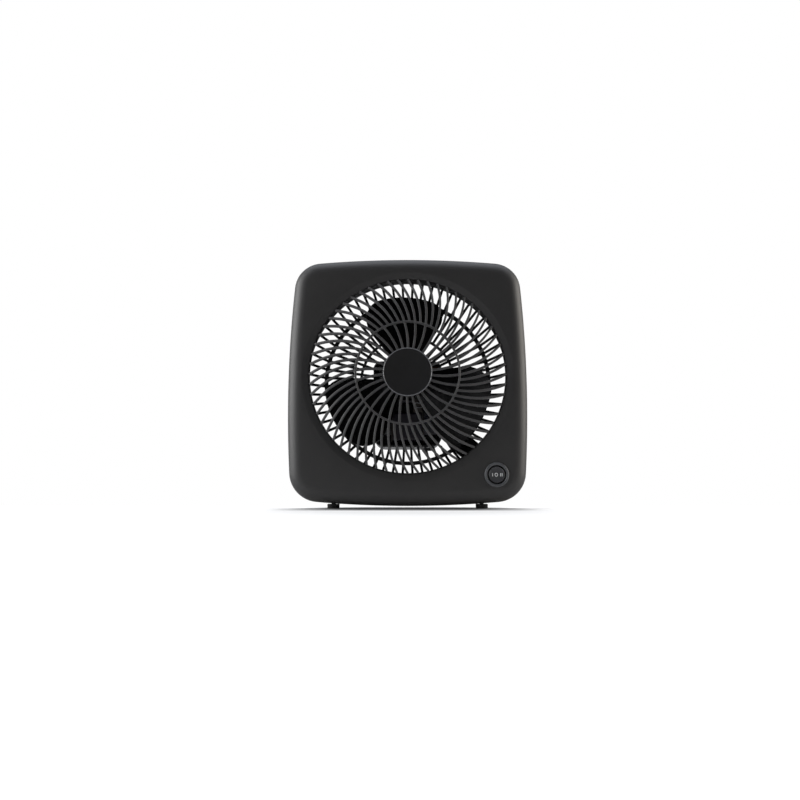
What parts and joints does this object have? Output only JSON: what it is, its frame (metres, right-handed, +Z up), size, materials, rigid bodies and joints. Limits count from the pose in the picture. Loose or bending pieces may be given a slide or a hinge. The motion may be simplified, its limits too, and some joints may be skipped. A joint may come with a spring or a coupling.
{
  "type": "box fan",
  "caption": "Small square table-top box fan with a domed spiral-rib front grille, bladed rotor on a shaded-pole motor, and a round rocker switch.",
  "frame": {"origin": "centre of the overall box's base, on the plane the feet stand on", "axes": "+X is the user's right when facing the fan's front, +Y points from the front grille to the back, +Z is up"},
  "size_m": [0.23, 0.0928, 0.243],
  "materials": {
    "housing_plastic": "fine-textured moulded black plastic",
    "grille_plastic": "smooth moulded dark grey plastic",
    "cap_plastic": "moulded black plastic with a bright-turned rim",
    "rotor_plastic": "half-gloss moulded black plastic",
    "switch_plastic": "moulded grey-black plastic",
    "rubber": "black rubber",
    "steel": "bright zinc-plated steel",
    "laminations": "stacked electrical steel sheets",
    "copper": "bare copper",
    "bronze": "oiled sintered bronze",
    "zinc": "die-cast metal",
    "coil_tape": "dark tape round enamelled wire",
    "nylon": "natural nylon",
    "lead_vinyl": "vinyl insulation"
  },
  "bodies": {
    "base": {"front_housing": "housing_plastic", "rear_housing": "housing_plastic", "front_grille": "grille_plastic", "duct_ring": "grille_plastic", "hub_cap": "cap_plastic", "rear_grille": "grille_plastic", "motor_cover": "grille_plastic", "wire_cover": "grille_plastic", "cord_inlet_bush": "rubber", "stator_core": "laminations", "shading_ring_upper": "copper", "shading_ring_lower": "copper", "coil_bobbin": "nylon", "stator_coil": "coil_tape", "front_bracket": "zinc", "rear_bracket": "zinc", "front_bush": "bronze", "rear_bush": "bronze", "motor_screw_left": "steel", "motor_screw_right": "steel", "switch_body": "switch_plastic", "foot_front_left": "rubber", "foot_front_right": "rubber", "foot_rear_left": "rubber", "foot_rear_right": "rubber", "housing_screw_left_top": "steel", "housing_screw_right_top": "steel", "housing_screw_left_bottom": "steel", "housing_screw_right_bottom": "steel", "switch_terminal_low": "steel", "lead_low": "lead_vinyl", "switch_terminal_common": "steel", "lead_common": "lead_vinyl", "switch_terminal_high": "steel", "lead_high": "lead_vinyl"},
    "rotor": {"fan_rotor": "rotor_plastic", "rotor_retainer": "steel", "motor_shaft": "steel", "rotor_core": "laminations", "thrust_washer_front": "nylon", "thrust_washer_rear": "nylon"},
    "rocker": {"switch_rocker": "switch_plastic"}
  },
  "joints": [
    {"name": "fan_spin", "type": "hinge", "parent": "base", "child": "rotor", "pos_m": [0, 0.0104, 0.1262], "axis": [0, 1, 0], "continuous": true},
    {"name": "switch_rock", "type": "hinge", "parent": "base", "child": "rocker", "pos_m": [0.0827, -0.0321, 0.031], "axis": [0, 0, 1], "range_deg": [-10, 10]}
  ]
}
